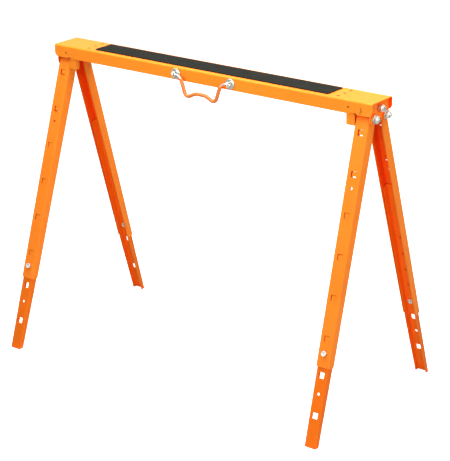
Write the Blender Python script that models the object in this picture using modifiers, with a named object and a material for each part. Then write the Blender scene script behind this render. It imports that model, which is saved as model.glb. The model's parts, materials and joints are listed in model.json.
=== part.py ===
"""Folding steel sawhorse: a channel beam with a non-slip strip, four splayed legs that slide to set
the height, two fold-under leg brackets and a carrying handle on the front flange.

Metres, +Z up. The origin is on the floor under the middle of the beam: X runs along the beam, the
front (the side with the handle) faces -Y, and the right end is at +X.
"""

import math
from functools import partial

import bmesh
import bpy
from mathutils import Matrix, Vector

# ---- shared sizes
SHEET = 0.002  # thickness of all the sheet steel
GAP = 0.0003  # clearance between neighbouring parts
JOIN = 0.0001  # small step that keeps the faces of joined solids from coinciding
DRILL_REACH = 0.05  # half the length of the drills that pass through a whole part

# ---- beam: an inverted U channel, open below and at both ends
BEAM_LENGTH = 1.000
BEAM_WIDTH = 0.092
BEAM_FLANGE = 0.033
BEAM_TOP = 0.810
BEAM_BEND = 0.004
FLANGE_CORNER = 0.012
TOP_HOLE_X = 0.394
TOP_HOLE_Y = 0.028
TOP_HOLE_R = 0.0026
TOP_DRILL = 0.012
FLANGE_DRILL = 0.014
FLANGE_DRILL_BACK = 0.038  # where the drill through the back flange starts
FLANGE_DRILL_FRONT = -0.052  # and the one through the front flange

# ---- non-slip pad on top of the beam
PAD_LENGTH = 0.736
PAD_WIDTH = 0.066
PAD_THICKNESS = 0.0030
PAD_CORNER = 0.002
PAD_RIM = 0.0006

# ---- cross pins: rivets through both flanges, about which the brackets fold
PIN_X = 0.444
PIN_Z = 0.783
PIN_R = 0.003
PIN_PLAY = 0.0004
PIN_HEAD_R = 0.0046
PIN_HEAD_TAPER = 0.8
PIN_HEAD = 0.0012
PIN_OVERHANG = 0.001  # how far the shaft runs past each flange, into the head

# ---- leg brackets, in a frame with the cross pin at the origin and +X towards the beam's end
LEAN = math.radians(1.28)  # each pair of legs leans outwards past vertical by this much
WALL_OUT = 0.0435
WALL_DROP = 0.0065
WALL_SHY = 0.0017  # the side walls stop short of the top, clear of the beam's bends
WALL_TOP_START = 0.003
TAB_IN = 0.017
TAB_DROP = 0.034
BRACKET_TOP = 0.0232
INNER_PLATE = (0.0044, 0.0064)
INNER_LOBE_R = 0.0135
INNER_LOBE_OUT = 0.0345  # half the width at which the lobes meet the lower edge
INNER_ARCH = [(-0.0085, -0.0052), (0, -0.0042), (0.0085, -0.0052)]  # y, z between the lobes
END_PLATE = (0.0458, 0.0478)
END_PLATE_DROP = 0.033
END_PLATE_CORNER = 0.017
END_PLATE_CHAMFER = 0.003
END_ARCH_Z = -0.0335  # centre of the notch between the two lobes
END_ARCH_R = 0.0155
# The raised ring under the outer nuts. The left end has bolt heads outside and no ring.
BOSS = {"right": 0.0045, "left": 0.0}
BOSS_R = 0.0125
BOSS_SPREAD = 0.001  # extra radius at the ring's root
LIP = 0.013
LIP_TOP = -0.008
PLATE_DRILL_START = -0.002
PLATE_DRILL = 0.060
PIVOT_HOLE_R = 0.0054
TIE_HOLE_R = 0.0044
TIE_BOLT_Z = 0.006
TIE_BOLT_OUT = 0.0103  # from the end plate to the underside of the tie bolt's head

# ---- legs: outer channel with its web facing out, and an extension channel that slides inside it.
# A leg's frame has its origin on the pivot bolt, -Z down the leg and +Y out through the web.
SPLAY = math.radians(16.9)
LEG_CENTRE = 0.0262  # from the cross pin to the middle of the leg, along the beam
BOLT_Y = 0.026
BOLT_Z = -0.016  # below the cross pin
LEG_WIDTH = 0.038
LEG_DEPTH = 0.0295  # the flanges taper from this under the pivot
LEG_DEPTH_END = 0.0215  # to this at the leg's lower end
LEG_BEND = 0.0032
LEG_TOP = 0.020  # top of the sheet before the ears are rounded
LEG_DROP = 0.606
LEG_PIVOT_HOLE_R = 0.0055
EAR_LOW = -0.008  # where the ear's straight edge ends
TAPER_TOP = -0.045
END_CHAMFER = 0.004
WEB_OUT = 0.0134  # from the pivot bolt to the outer face of the leg's web
LOCK_DROP = 0.572
HOLE_PITCH = 0.100
HOLE_R = 0.0036
UPPER_ROUND_DROP = 0.170
SQUARE = 0.015
SQUARES = 6  # pressed tongues in the leg's web, each slit along its edges
SQUARE_ABOVE_LOCK = 0.036
UPPER_SQUARES = 2
SLITS = (0.0022, 0.0016, 0.0)  # side, top and bottom slits of the lower four
UPPER_SLITS = (0.0038, 0.0006, 0.0028)  # and of the upper two
TONGUE_DIP = 0.0007
TONGUE_MARGIN = 0.0003
TONGUES = [-LOCK_DROP + SQUARE_ABOVE_LOCK + i * HOLE_PITCH for i in range(SQUARES)]

EXT_WEB = WEB_OUT - SHEET - GAP
EXT_CLEAR = 0.0004
EXT_WIDTH = LEG_WIDTH - 2 * SHEET - 2 * EXT_CLEAR
EXT_DEPTH = 0.0188
EXT_DEPTH_FOOT = 0.0128
EXT_BEND = 0.0030
EXT_CHAMFER = 0.004
EXT_TOP_DROP = 0.214
EXT_TAPER_FROM = 0.622
EXT_FOOT_DROP = 0.815
EXT_SHEET_DROP = 0.830  # the sheet's lower end, before the floor cuts it
EXT_SQUARE = 0.054  # from the lock bolt down to the first square hole
EXT_ROUND_STEPS = (-2, 0, 1, 2, 3, 4)  # round holes, in half pitches above the lock bolt
FOOT_X = 0.487
FOOT_Y = 0.265

TRIM_DEPTH = 0.001  # extra sheet on the flanges, for the envelope to trim
TRIM_REACH = 0.03  # how far the leg cutters reach across
TRIM_SIDE = 0.001  # how far an envelope stands off the extension's web
LEG_TRIM_END = 0.02  # how far an envelope runs past the leg's end
EXT_TRIM_END = 0.01  # and past either end of the extension
FLOOR_REACH = 0.1

# ---- handle: swings about an axis along X, through HANDLE_Y and HANDLE_Z
HANDLE_X = 0.086
HANDLE_Y = -0.0555
HANDLE_Z = 0.793
HANDLE_HOLE_R = 0.0034
ROD_R = 0.0025
GRIP_R = 0.0049
GRIP_HALF = 0.0640
GRIP_PLAY = 0.0004
EYE_MAJOR = 0.0052
EYE_MINOR = 0.0020
EYE_STEPS = 14
EYE_RING_STEPS = 8
EYE_SHANK_R = 0.003
EYE_SHANK = 0.0185
EYE_SHANK_SINK = 0.0005

# The right half of the rod, from its middle to its end: x, z from the swing axis.
HALF_ROD = [
    (0.0000, -0.0400), (0.0130, -0.0403), (0.0240, -0.0440), (0.0330, -0.0487),
    (0.0400, -0.0502), (0.0465, -0.0480), (0.0510, -0.0410), (0.0550, -0.0290),
    (0.0600, -0.0150), (0.0655, -0.0055), (0.0730, -0.0006), (0.0780, 0.0000),
    (0.0940, 0.0000),
]

SIDES = (("right", 1), ("left", -1))
ROWS = (("front", -1), ("back", 1))
AXES = {"X": 0, "Y": 1, "Z": 2}
HALF_TURN = math.radians(180)
QUARTER_TURN = math.radians(90)

for old in list(bpy.data.objects):
    bpy.data.objects.remove(old, do_unlink=True)

scene = bpy.context.scene
PARTS = bpy.data.collections.new("sawhorse")
CUTTERS = bpy.data.collections.new("sawhorse_cutters")
GUIDES = bpy.data.collections.new("sawhorse_axes")
for collection in (PARTS, CUTTERS, GUIDES):
    scene.collection.children.link(collection)


# ---- finishes
def material(name, rgb, roughness, metallic=0.0):
    made = bpy.data.materials.new(name)
    made.use_nodes = True
    shader = made.node_tree.nodes["Principled BSDF"]
    shader.inputs["Base Color"].default_value = (*rgb, 1.0)
    shader.inputs["Roughness"].default_value = roughness
    shader.inputs["Metallic"].default_value = metallic
    made.diffuse_color = (*rgb, 1.0)
    return made


BEAM_PAINT = material("beam_paint", rgb=(0.86, 0.25, 0.012), roughness=0.42)
BRACKET_PAINT = material("bracket_paint", rgb=(0.84, 0.22, 0.012), roughness=0.45)
LEG_PAINT = material("leg_paint", rgb=(0.86, 0.24, 0.012), roughness=0.42)
EXT_PAINT = material("extension_paint", rgb=(0.82, 0.20, 0.010), roughness=0.42)
PIN_PAINT = material("pin_paint", rgb=(0.85, 0.24, 0.012), roughness=0.45)
GRIT = material("grip_strip", rgb=(0.055, 0.056, 0.050), roughness=0.92)
SLEEVE = material("grip_sleeve", rgb=(0.78, 0.20, 0.02), roughness=0.55)
BOLT_ZINC = material("bolt_zinc", rgb=(0.72, 0.73, 0.74), roughness=0.28, metallic=1.0)
NUT_ZINC = material("nut_zinc", rgb=(0.70, 0.71, 0.72), roughness=0.30, metallic=1.0)
WASHER_ZINC = material("washer_zinc", rgb=(0.74, 0.75, 0.76), roughness=0.26, metallic=1.0)
ROD_ZINC = material("rod_zinc", rgb=(0.75, 0.76, 0.77), roughness=0.25, metallic=1.0)


# ---- objects
def add_object(name, data, collection, parent, location, rotation=(0, 0, 0)):
    made = bpy.data.objects.new(name, data)
    made.location = location
    made.rotation_euler = rotation
    made.parent = parent
    collection.objects.link(made)
    return made


def empty(name, parent=None, location=(0, 0, 0), rotation=(0, 0, 0)):
    """A joint's frame: parts that turn or slide together hang from it."""
    made = add_object(name, None, GUIDES, parent, location, rotation)
    made.empty_display_size = 0.02
    return made


def place(name, mesh, parent, finish, location=(0, 0, 0), rotation=(0, 0, 0)):
    """A visible part, whose finish takes the place of any material slots the mesh has."""
    mesh.materials.clear()
    mesh.materials.append(finish)
    return add_object(name, mesh, PARTS, parent, location, rotation)


def cutter(name, mesh, parent=None, location=(0, 0, 0)):
    made = add_object(name, mesh, CUTTERS, parent, location)
    made.hide_render = True
    made.display_type = "WIRE"
    return made


def boolean(obj, other, operation):
    made = obj.modifiers.new(f"{operation.lower()}_{other.name}", "BOOLEAN")
    made.operation = operation
    made.solver = "EXACT"
    made.object = other


def thicken(obj):
    """Give an open sheet its thickness, inwards from the outer side."""
    made = obj.modifiers.new("thickness", "SOLIDIFY")
    made.thickness = SHEET
    made.offset = -1.0
    made.use_even_offset = True


# ---- meshes. A "build" is a function that adds geometry to the bmesh it is given.
def mesh_from(name, build):
    """A mesh made by build(bm), with its faces turned outwards."""
    bm = bmesh.new()
    build(bm)
    bmesh.ops.recalc_face_normals(bm, faces=bm.faces[:])
    made = bpy.data.meshes.new(name)
    bm.to_mesh(made)
    bm.free()
    return made


def add_box(bm, low, high):
    low, high = Vector(low), Vector(high)
    size = high - low
    matrix = Matrix.Translation((low + high) / 2) @ Matrix.Diagonal((*size, 1.0))
    bmesh.ops.create_cube(bm, size=1.0, matrix=matrix)


def along(axis):
    """A matrix that turns +Z to the named axis."""
    return {
        "X": Matrix.Rotation(QUARTER_TURN, 4, "Y"),
        "Y": Matrix.Rotation(-QUARTER_TURN, 4, "X"),
        "Z": Matrix.Identity(4),
    }[axis]


def add_rod(bm, start, length, radius, axis, segments, end_radius=None):
    """A cylinder, or a cone or prism, that starts at a point and runs along an axis."""
    middle = Matrix.Translation((0, 0, length / 2))
    bmesh.ops.create_cone(
        bm,
        cap_ends=True,
        segments=segments,
        radius1=radius,
        radius2=radius if end_radius is None else end_radius,
        depth=length,
        matrix=Matrix.Translation(start) @ along(axis) @ middle,
    )


def add_prism(bm, outline, axis, low, high):
    """A flat outline pushed along an axis. For X the outline is (y, z), for Y it is (x, z)."""
    if axis == "X":
        points = [(low, a, b) for a, b in outline]
        push = Vector((high - low, 0, 0))
    else:
        points = [(a, low, b) for a, b in outline]
        push = Vector((0, high - low, 0))
    face = bm.faces.new([bm.verts.new(point) for point in points])
    moved = bmesh.ops.extrude_face_region(bm, geom=[face])["geom"]
    verts = [item for item in moved if isinstance(item, bmesh.types.BMVert)]
    bmesh.ops.translate(bm, vec=push, verts=verts)


def arc(centre, radius, start, end, steps):
    """Points on an arc from one angle to another, in degrees."""
    angles = [math.radians(start + (end - start) * i / steps) for i in range(steps + 1)]
    return [
        (centre[0] + radius * math.cos(angle), centre[1] + radius * math.sin(angle))
        for angle in angles
    ]


def edge_span(edge, axis):
    """How far an edge reaches along an axis."""
    start, end = edge.verts
    return abs(start.co[AXES[axis]] - end.co[AXES[axis]])


def edge_lies_at(edge, axis, value):
    return all(abs(vert.co[AXES[axis]] - value) < 1e-6 for vert in edge.verts)


def bevel_edges(bm, edges, offset, segments):
    bmesh.ops.bevel(
        bm, geom=edges, offset=offset, segments=segments, profile=0.5, affect="EDGES"
    )


def evaluated_mesh(obj, name):
    bpy.context.view_layer.update()
    graph = bpy.context.evaluated_depsgraph_get()
    made = bpy.data.meshes.new_from_object(obj.evaluated_get(graph))
    made.name = name
    return made


def baked(name, body, builds, operation):
    """A body joined with or cut by other solids, worked out once and kept as a mesh."""
    base = bpy.data.objects.new(name, body)
    others = [
        bpy.data.objects.new(f"{name}_{i}", mesh_from(f"{name}_{i}", build))
        for i, build in enumerate(builds)
    ]
    for obj in (base, *others):
        scene.collection.objects.link(obj)
    for other in others:
        boolean(base, other, operation)
    made = evaluated_mesh(base, name)
    for obj in (base, *others):
        bpy.data.objects.remove(obj, do_unlink=True)
    return made


def solid(name, first, *others):
    """One closed body: the union of several simple solids."""
    return baked(name, mesh_from(name, first), others, "UNION")


def drilled(name, body, holes):
    return baked(name, body, [holes], "DIFFERENCE")


def smooth(mesh, angle=30):
    mesh.shade_smooth()
    mesh.set_sharp_from_angle(angle=math.radians(angle))
    return mesh


def sheet_outward(mesh, axis):
    """Turn an open sheet so that its largest face across an axis looks to the positive side."""
    index = AXES[axis]
    web = max(mesh.polygons, key=lambda p: p.area if abs(p.normal[index]) > 0.9 else 0)
    if web.normal[index] < 0:
        mesh.flip_normals()
    return mesh


def channel(name, width, depth, web, low, high, bend):
    """The open sheet of a U channel along Z: web at +Y, flanges running to -Y."""

    def build(bm):
        add_box(bm, (-width / 2, web - depth, low), (width / 2, web, high))
        gone = [f for f in bm.faces if abs(f.normal.z) > 0.9 or f.normal.y < -0.9]
        bmesh.ops.delete(bm, geom=gone, context="FACES")
        bends = [
            edge
            for edge in bm.edges
            if edge_lies_at(edge, "Y", web) and edge_span(edge, "Z") > 1e-3
        ]
        bevel_edges(bm, bends, bend, segments=2)

    return smooth(sheet_outward(mesh_from(name, build), "Y"))


# ---- hardware, each a mesh along +X from the face it bears on
def hex_corner(across):
    """The corner radius of a hexagon, from its width across flats."""
    return across / math.sqrt(3)


def hex_bolt(name, radius, length, across, head, flange=0.0):
    """A bolt whose head is at -X of the origin and whose shank runs along +X."""
    parts = [
        partial(add_rod, start=(-head / 2, 0, 0), length=head / 2 + length,
                radius=radius, axis="X", segments=12),
        partial(add_rod, start=(-head, 0, 0), length=head,
                radius=hex_corner(across), axis="X", segments=6),
    ]
    if flange:
        parts.append(
            partial(add_rod, start=(-0.0016, 0, 0), length=0.0015,
                    radius=flange, axis="X", segments=16)
        )
    return smooth(solid(name, *parts))


def pierced_disc(name, outer, hole, height, segments):
    overshoot = 0.002
    disc = partial(add_rod, start=(0, 0, 0), length=height,
                   radius=outer, axis="X", segments=segments)
    bore = partial(add_rod, start=(-overshoot, 0, 0), length=height + 2 * overshoot,
                   radius=hole, axis="X", segments=12)
    return smooth(drilled(name, mesh_from(name, disc), bore))


def hex_nut(name, hole, across, height):
    return pierced_disc(name, hex_corner(across), hole, height, segments=6)


def washer(name, outer, hole, height):
    return pierced_disc(name, outer, hole, height, segments=20)


PIVOT_WASHER = washer("leg_pivot_washer", outer=0.0112, hole=0.0056, height=0.002)
PIVOT_WASHER_HEIGHT = 0.002
PIVOT_NUT = hex_nut("leg_pivot_nut", hole=0.0053, across=0.017, height=0.008)
PIVOT_BOLTS = {
    side: hex_bolt(
        "leg_pivot_bolt", radius=0.005, length=0.0567 + BOSS[side], across=0.016, head=0.0064
    )
    for side, _ in SIDES
}
TIE_BOLT = hex_bolt(
    "bracket_tie_bolt", radius=0.004, length=0.0540, across=0.013, head=0.0053, flange=0.0088
)
TIE_NUT = hex_nut("bracket_tie_nut", hole=0.0043, across=0.013, height=0.008)
LOCK_BOLT = hex_bolt("lock_bolt", radius=0.003, length=0.0150, across=0.013, head=0.0053)
LOCK_NUT = hex_nut("lock_nut", hole=0.0033, across=0.013, height=0.0065)
HANDLE_WASHER = washer("handle_washer", outer=0.0138, hole=HANDLE_HOLE_R, height=0.0016)
HANDLE_NUT = hex_nut("handle_nut", hole=0.0033, across=0.010, height=0.005)


# ---- beam
def beam_sheet(bm):
    add_box(
        bm,
        (-BEAM_LENGTH / 2, -BEAM_WIDTH / 2, BEAM_TOP - BEAM_FLANGE),
        (BEAM_LENGTH / 2, BEAM_WIDTH / 2, BEAM_TOP),
    )
    gone = [f for f in bm.faces if f.normal.z < -0.9 or abs(f.normal.x) > 0.9]
    bmesh.ops.delete(bm, geom=gone, context="FACES")
    corners = [vert for vert in bm.verts if vert.co.z < BEAM_TOP - 0.001]
    bmesh.ops.bevel(
        bm, geom=corners, offset=FLANGE_CORNER, segments=5, profile=0.5, affect="VERTICES"
    )
    bends = [
        edge
        for edge in bm.edges
        if edge_lies_at(edge, "Z", BEAM_TOP) and edge_span(edge, "X") > 0.1
    ]
    bevel_edges(bm, bends, BEAM_BEND, segments=3)


def beam_holes(bm):
    for x in (-TOP_HOLE_X, TOP_HOLE_X):
        for y in (-TOP_HOLE_Y, 0, TOP_HOLE_Y):
            add_rod(bm, (x, y, BEAM_TOP - TOP_DRILL / 2), TOP_DRILL, TOP_HOLE_R, "Z", 8)
    for x in (-PIN_X, PIN_X):
        for y in (FLANGE_DRILL_FRONT, FLANGE_DRILL_BACK):
            add_rod(bm, (x, y, PIN_Z), FLANGE_DRILL, PIN_R + PIN_PLAY, "Y", 12)
    for x in (-HANDLE_X, HANDLE_X):
        start = (x, FLANGE_DRILL_FRONT, HANDLE_Z)
        add_rod(bm, start, FLANGE_DRILL, HANDLE_HOLE_R, "Y", 12)


def make_beam():
    mesh = smooth(sheet_outward(mesh_from("top_beam", beam_sheet), "Z"))
    beam = place("top_beam", mesh, None, BEAM_PAINT)
    thicken(beam)
    boolean(beam, cutter("beam_holes", mesh_from("beam_holes", beam_holes)), "DIFFERENCE")


def pad_block(bm):
    bottom = BEAM_TOP + GAP
    add_box(
        bm,
        (-PAD_LENGTH / 2, -PAD_WIDTH / 2, bottom),
        (PAD_LENGTH / 2, PAD_WIDTH / 2, bottom + PAD_THICKNESS),
    )
    upright = [edge for edge in bm.edges if edge_span(edge, "Z") > 1e-4]
    bevel_edges(bm, upright, PAD_CORNER, segments=3)


def make_pad():
    pad = place("non_slip_pad", mesh_from("non_slip_pad", pad_block), None, GRIT)
    rim = pad.modifiers.new("edge", "BEVEL")
    rim.width = PAD_RIM
    rim.segments = 1
    rim.limit_method = "ANGLE"


# ---- leg brackets
def wall_outline():
    """Side wall, as (x, z): a round tab about the cross pin, with an arm to the end plate."""
    tab_out = INNER_PLATE[1] + 2 * JOIN
    arm_out = END_PLATE[1] - 2 * JOIN
    top = BRACKET_TOP - WALL_SHY
    return [
        (-TAB_IN, -TAB_DROP),
        (tab_out, -TAB_DROP),
        (tab_out, -WALL_DROP),
        (arm_out, -WALL_DROP),
        (arm_out, top),
        (WALL_TOP_START, top),
        *arc((0, 0), TAB_IN, 80, 180, 5),
    ]


def inner_plate_outline():
    """Inner plate, as (y, z): a lobe round each pivot, arched between them."""
    low, high = -TAB_DROP + JOIN, BRACKET_TOP - SHEET / 2
    wide = WALL_OUT - SHEET / 2
    return [
        (-wide, high),
        (-wide, low),
        (-INNER_LOBE_OUT, low),
        *arc((-BOLT_Y, BOLT_Z), INNER_LOBE_R, 250, 395, 9),
        *INNER_ARCH,
        *arc((BOLT_Y, BOLT_Z), INNER_LOBE_R, 145, 290, 9),
        (INNER_LOBE_OUT, low),
        (wide, low),
        (wide, high),
    ]


def end_plate_outline():
    """End plate, as (y, z): two rounded lobes with a notch between them."""
    corner, chamfer = END_PLATE_CORNER, END_PLATE_CHAMFER
    half = WALL_OUT - 2 * JOIN
    top = BRACKET_TOP - 3 * JOIN
    lobe_z = -END_PLATE_DROP + corner
    return [
        (-half + chamfer, top),
        (-half, BRACKET_TOP - chamfer),
        *arc((-half + corner, lobe_z), corner, 180, 312, 8),
        *arc((0, END_ARCH_Z), END_ARCH_R, 160, 20, 7),
        *arc((half - corner, lobe_z), corner, 228, 360, 8),
        (half, BRACKET_TOP - chamfer),
        (half - chamfer, top),
    ]


def bracket_holes(bm):
    for y, z, radius in (
        (-BOLT_Y, BOLT_Z, PIVOT_HOLE_R),
        (BOLT_Y, BOLT_Z, PIVOT_HOLE_R),
        (0, TIE_BOLT_Z, TIE_HOLE_R),
    ):
        add_rod(bm, (PLATE_DRILL_START, y, z), PLATE_DRILL, radius, "X", 14)
    add_rod(bm, (0, -DRILL_REACH, 0), 2 * DRILL_REACH, PIN_R + PIN_PLAY, "Y", 12)


def bracket_mesh(name, boss):
    end_low, end_high = END_PLATE
    top_y = WALL_OUT - SHEET / 2 - JOIN
    walls = [
        partial(add_prism, outline=wall_outline(), axis="Y", low=y, high=y + SHEET)
        for y in (WALL_OUT - SHEET, -WALL_OUT)
    ]
    plates = [
        partial(add_prism, outline=outline, axis="X", low=low, high=high)
        for outline, (low, high) in (
            (inner_plate_outline(), INNER_PLATE),
            (end_plate_outline(), END_PLATE),
        )
    ]
    top = partial(
        add_box,
        low=(INNER_PLATE[0] + JOIN, -top_y, BRACKET_TOP - SHEET),
        high=(end_high - SHEET / 2, top_y, BRACKET_TOP - JOIN),
    )
    # Lips turned in from the walls at the tabs' inner edges.
    lip_x = -TAB_IN + JOIN
    lips = [
        partial(add_box, low=(lip_x, low, -TAB_DROP + JOIN), high=(lip_x + SHEET, high, LIP_TOP))
        for low, high in ((WALL_OUT - LIP, WALL_OUT - JOIN), (-WALL_OUT + JOIN, -WALL_OUT + LIP))
    ]
    rings = [
        partial(
            add_rod,
            start=(end_low + 2 * JOIN, y, BOLT_Z),
            length=SHEET + boss - 2 * JOIN,
            radius=BOSS_R + BOSS_SPREAD,
            axis="X",
            segments=24,
            end_radius=BOSS_R,
        )
        for y in (-BOLT_Y, BOLT_Y)
        if boss
    ]
    body = solid(name, *walls, *plates, top, *lips, *rings)
    return drilled(name, body, bracket_holes)


def make_fold_pin(side, side_sign):
    """The cross pin, which stays with the beam."""
    name = f"fold_pin_{side}"
    half = BEAM_WIDTH / 2
    head_y = half + GAP
    narrow = PIN_HEAD_R * PIN_HEAD_TAPER
    shaft = partial(add_rod, start=(0, -half - PIN_OVERHANG, 0),
                    length=BEAM_WIDTH + 2 * PIN_OVERHANG, radius=PIN_R, axis="Y", segments=12)
    heads = [
        partial(add_rod, start=(0, y, 0), length=PIN_HEAD,
                radius=radius, axis="Y", segments=12, end_radius=end_radius)
        for y, radius, end_radius in (
            (-head_y - PIN_HEAD, narrow, PIN_HEAD_R),
            (head_y, PIN_HEAD_R, narrow),
        )
    ]
    mesh = smooth(solid(name, shaft, *heads))
    place(name, mesh, None, PIN_PAINT, (side_sign * PIN_X, 0, PIN_Z))


def make_tie_bolt(side, end):
    """The tie bolt holds the two cross plates of the bracket together."""
    bolt_at = (END_PLATE[1] + TIE_BOLT_OUT, 0, TIE_BOLT_Z)
    nut_at = (END_PLATE[1] + GAP, 0, TIE_BOLT_Z)
    spin = (0, 0, HALF_TURN)
    place(f"bracket_tie_bolt_{side}", TIE_BOLT.copy(), end, BOLT_ZINC, bolt_at, spin)
    place(f"bracket_tie_nut_{side}", TIE_NUT.copy(), end, NUT_ZINC, nut_at)


def make_pivot(name, side, side_sign, row_sign, end):
    """A leg's pivot bolt. All point to +X: the right end has its nuts outside, the left its heads."""
    y = row_sign * side_sign * BOLT_Y  # the end frame is turned round at the left end
    inside = INNER_PLATE[0] - GAP
    outside = END_PLATE[1] + BOSS[side] + GAP
    if side_sign > 0:
        head_x, bearing, spin = inside, outside, 0
    else:
        head_x, bearing, spin = outside, inside, HALF_TURN
    nut_x = bearing + side_sign * (PIVOT_WASHER_HEIGHT + GAP)
    for part, mesh, finish, x in (
        ("leg_pivot_bolt", PIVOT_BOLTS[side], BOLT_ZINC, head_x),
        ("leg_pivot_washer", PIVOT_WASHER, WASHER_ZINC, bearing),
        ("leg_pivot_nut", PIVOT_NUT, NUT_ZINC, nut_x),
    ):
        place(f"{part}_{name}", mesh.copy(), end, finish, (x, y, BOLT_Z), (0, 0, spin))


# ---- legs
def leg_envelope(bm):
    """What the outer leg keeps: below the pivot all of it, above it a round ear on each flange."""
    ear = WEB_OUT + JOIN
    edge_end = WEB_OUT - LEG_DEPTH_END
    outline = [
        (ear, -LEG_DROP - LEG_TRIM_END),
        *arc((0, 0), ear, 0, 180, 12),
        (-ear, EAR_LOW),
        (WEB_OUT - LEG_DEPTH, TAPER_TOP),
        (edge_end, -LEG_DROP + END_CHAMFER),
        (edge_end + END_CHAMFER, -LEG_DROP - 2 * JOIN),
        (edge_end + END_CHAMFER, -LEG_DROP - LEG_TRIM_END),
    ]
    add_prism(bm, outline, "X", -TRIM_REACH, TRIM_REACH)


def leg_holes(bm):
    """The slits round the tongues, two round holes in the web and the pivot hole."""
    half = SQUARE / 2
    for i, z in enumerate(TONGUES):
        side, top, bottom = UPPER_SLITS if i >= SQUARES - UPPER_SQUARES else SLITS
        outline = [(-half, z + half), (half, z + half), (half, z - half)]
        if bottom:
            outline += [
                (-half, z - half),
                (-half, z - half + bottom),
                (half - side, z - half + bottom),
            ]
        else:
            outline += [(half - side, z - half)]
        outline += [(half - side, z + half - top), (-half, z + half - top)]
        add_prism(bm, outline, "Y", 0, TRIM_REACH)
    for z in (-LOCK_DROP, -UPPER_ROUND_DROP):
        add_rod(bm, (0, 0, z), TRIM_REACH, HOLE_R, "Y", 12)
    add_rod(bm, (-DRILL_REACH, 0, 0), 2 * DRILL_REACH, LEG_PIVOT_HOLE_R, "X", 16)


def tongue_dips(bm):
    """Each tongue is pressed a little below the face of the web."""
    half = SQUARE / 2 - TONGUE_MARGIN
    for z in TONGUES:
        add_box(
            bm, (-half, WEB_OUT - TONGUE_DIP, z - half), (half, WEB_OUT + 0.002, z + half)
        )


def extension_envelope(bm):
    """The extension's flanges are parallel inside the leg and taper below it, down to the foot."""
    web = EXT_WEB + TRIM_SIDE
    edge = EXT_WEB - EXT_DEPTH
    edge_foot = EXT_WEB - EXT_DEPTH_FOOT
    above = -EXT_TOP_DROP + EXT_TRIM_END
    below = -EXT_SHEET_DROP - EXT_TRIM_END
    outline = [
        (web, below),
        (web, above),
        (edge + EXT_CHAMFER, above),
        (edge + EXT_CHAMFER, -EXT_TOP_DROP),
        (edge, -EXT_TOP_DROP - EXT_CHAMFER),
        (edge, -EXT_TAPER_FROM),
        (edge_foot, -EXT_FOOT_DROP),
        (edge_foot, below),
    ]
    add_prism(bm, outline, "X", -TRIM_REACH, TRIM_REACH)


def extension_holes(bm):
    half = SQUARE / 2
    first = -LOCK_DROP - EXT_SQUARE
    for z in (first, first - HOLE_PITCH):
        add_box(bm, (-half, 0, z - half), (half, TRIM_REACH, z + half))
    for i in EXT_ROUND_STEPS:
        add_rod(bm, (0, 0, -LOCK_DROP + i * HOLE_PITCH / 2), TRIM_REACH, HOLE_R, "Y", 12)


def below_floor(bm):
    add_box(bm, (-FLOOR_REACH,) * 3, (FLOOR_REACH, FLOOR_REACH, 0))


def cut_with(obj, name, build, parent, operation="DIFFERENCE", location=(0, 0, 0)):
    boolean(obj, cutter(name, mesh_from(name, build), parent, location), operation)


def make_outer_leg(name, leg):
    part = f"outer_leg_{name}"
    mesh = channel(
        part,
        width=LEG_WIDTH,
        depth=LEG_DEPTH + TRIM_DEPTH,
        web=WEB_OUT,
        low=-LEG_DROP,
        high=LEG_TOP,
        bend=LEG_BEND,
    )
    outer = place(part, mesh, leg, LEG_PAINT)
    thicken(outer)
    cut_with(outer, f"ear_{name}", leg_envelope, leg, "INTERSECT")
    cut_with(outer, f"leg_holes_{name}", leg_holes, leg)
    cut_with(outer, f"tongue_dips_{name}", tongue_dips, leg)


def make_extension(name, leg, side_sign, row_sign):
    slide = empty(f"slide_axis_{name}", leg)
    part = f"leg_extension_{name}"
    mesh = channel(
        part,
        width=EXT_WIDTH,
        depth=EXT_DEPTH + TRIM_DEPTH,
        web=EXT_WEB,
        low=-EXT_SHEET_DROP,
        high=-EXT_TOP_DROP,
        bend=EXT_BEND,
    )
    extension = place(part, mesh, slide, EXT_PAINT)
    thicken(extension)
    cut_with(extension, f"ext_taper_{name}", extension_envelope, slide, "INTERSECT")
    cut_with(extension, f"ext_holes_{name}", extension_holes, slide)
    # The foot is sawn level with the floor.
    foot_at = (side_sign * FOOT_X, row_sign * FOOT_Y, 0)
    cut_with(extension, f"floor_{name}", below_floor, None, location=foot_at)


def make_lock(name, leg):
    """The lock bolt goes through both webs, with its nut inside the channel."""
    for part, mesh, finish, y in (
        ("lock_bolt", LOCK_BOLT, BOLT_ZINC, WEB_OUT + GAP),
        ("lock_nut", LOCK_NUT, NUT_ZINC, EXT_WEB - SHEET - GAP),
    ):
        at = (0, y, -LOCK_DROP)
        place(f"{part}_{name}", mesh.copy(), leg, finish, at, (0, 0, -QUARTER_TURN))


def make_end(side, side_sign):
    """One end of the trestle: its bracket, pin and hardware, and its pair of legs."""
    # The lean tips the feet outwards. +X of the end frame points to the beam's end.
    fold_at = (side_sign * PIN_X, 0, PIN_Z)
    fold = empty(f"fold_axis_{side}", None, fold_at, (0, -side_sign * LEAN, 0))
    end_turn = 0 if side_sign > 0 else HALF_TURN
    end = empty(f"end_frame_{side}", fold, rotation=(0, 0, end_turn))
    bracket = f"leg_bracket_{side}"
    place(bracket, bracket_mesh(bracket, BOSS[side]), end, BRACKET_PAINT)
    make_fold_pin(side, side_sign)
    make_tie_bolt(side, end)
    for row, row_sign in ROWS:
        name = f"{row}_{side}"
        make_pivot(name, side, side_sign, row_sign, end)
        leg_at = (side_sign * LEG_CENTRE, row_sign * BOLT_Y, BOLT_Z)
        leg_turn = 0 if row_sign > 0 else HALF_TURN
        leg = empty(f"leg_axis_{name}", fold, leg_at, (SPLAY, 0, leg_turn))
        make_outer_leg(name, leg)
        make_extension(name, leg, side_sign, row_sign)
        make_lock(name, leg)


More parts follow.
